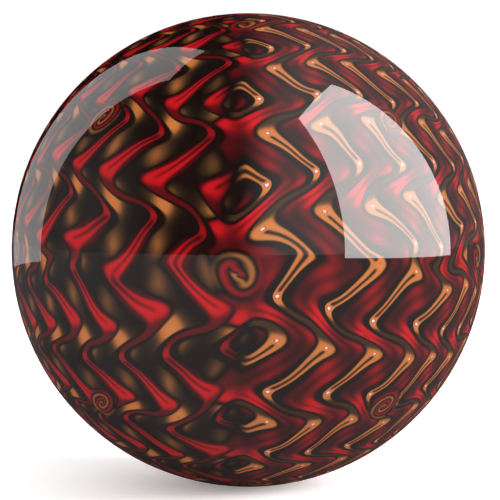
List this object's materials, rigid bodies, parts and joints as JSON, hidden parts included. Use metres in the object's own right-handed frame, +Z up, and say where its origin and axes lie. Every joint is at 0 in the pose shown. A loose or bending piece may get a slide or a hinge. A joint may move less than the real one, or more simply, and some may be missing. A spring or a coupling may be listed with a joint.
{
  "type": "bowling ball",
  "caption": "Picture-type bowling ball: printed flame pattern under a clear cast shell, weight block inside, two finger grips, and a thumb that lifts out and locks with a twist.",
  "frame": {"origin": "centre of the ball", "axes": "+Z up; -Y towards the middle of the picture; +Y along and out of the middle finger's bore; the thumb's hole points up and back towards -X"},
  "size_m": [0.217, 0.2169, 0.217],
  "materials": {
    "clear_resin": "polished clear polyester, high gloss",
    "picture_film": "printed film in red, tan and near-black, under the clear shell",
    "core_filler": "rough cast filler",
    "weight_block": "dense cast resin with mineral filler",
    "pin_resin": "polished flush with the ball",
    "insert_urethane": "soft moulded urethane, satin",
    "sleeve_plastic": "moulded nylon, satin",
    "inner_sleeve_plastic": "moulded nylon, satin",
    "thumb_slug_urethane": "turned urethane, fine sanding rings",
    "seal_rubber": "smooth nitrile"
  },
  "bodies": {
    "ball": {"clear_shell": "clear_resin", "picture_film_front": "picture_film", "picture_film_back": "picture_film", "outer_core": "core_filler", "weight_block": "weight_block", "locating_pin": "pin_resin", "middle_finger_insert": "insert_urethane", "ring_finger_insert": "insert_urethane", "thumb_outer_sleeve": "sleeve_plastic"},
    "thumb_seal": {"thumb_o_ring": "seal_rubber"},
    "removable_thumb": {"thumb_inner_sleeve": "inner_sleeve_plastic", "thumb_slug": "thumb_slug_urethane"}
  },
  "joints": [
    {"name": "thumb_lift", "type": "slide", "parent": "ball", "child": "thumb_seal", "axis": [-0.637, 0.3655, 0.6787], "range_m": [0, 0.068]},
    {"name": "thumb_twist", "type": "hinge", "parent": "thumb_seal", "child": "removable_thumb", "pos_m": [-0.06911, 0.03965, 0.07364], "axis": [-0.637, 0.3655, 0.6787], "range_deg": [-60, 0]}
  ]
}
